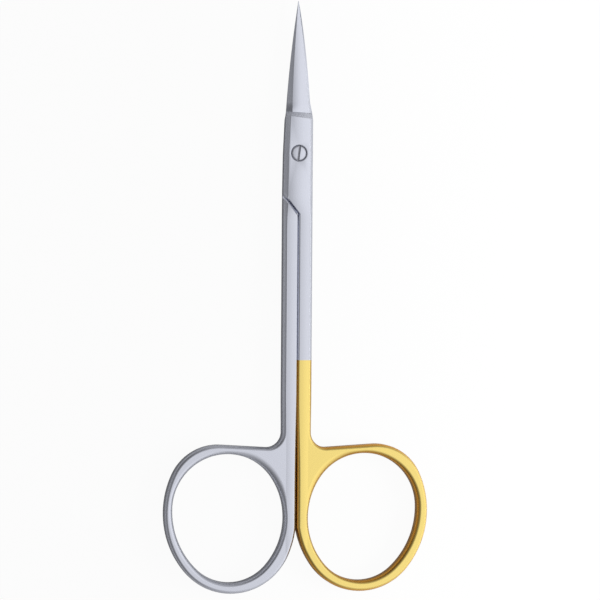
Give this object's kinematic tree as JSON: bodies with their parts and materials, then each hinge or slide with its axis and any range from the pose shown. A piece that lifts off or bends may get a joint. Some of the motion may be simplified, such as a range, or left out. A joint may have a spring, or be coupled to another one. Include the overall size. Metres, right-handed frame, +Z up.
{
  "type": "iris scissors",
  "caption": "Straight sharp-pointed surgical scissors, two crossed halves on a slotted pivot screw, oval finger rings, one of them gilt.",
  "frame": {"origin": "on the pivot screw's axis, in the plane of the underside that the scissors lie on", "axes": "+Z up along the pivot axis, +Y towards the blade tips, +X towards the plated ring when closed"},
  "size_m": [0.0521, 0.1148, 0.0032],
  "materials": {
    "gilt_half": "brushed stainless steel, gold plated from the lower shank down over the finger ring",
    "steel_half": "stainless steel, satin, brushed along its length",
    "screw": "stainless steel, finely turned and brushed flush with the joint"
  },
  "bodies": {
    "lower_half": {"steel_ring_half": "steel_half", "pivot_screw": "screw"},
    "upper_half": {"gold_ring_half": "gilt_half"}
  },
  "joints": [
    {"name": "blade_pivot", "type": "hinge", "parent": "lower_half", "child": "upper_half", "pos_m": [0, 0, 0], "axis": [0, 0, 1], "range_deg": [0, 140]}
  ]
}
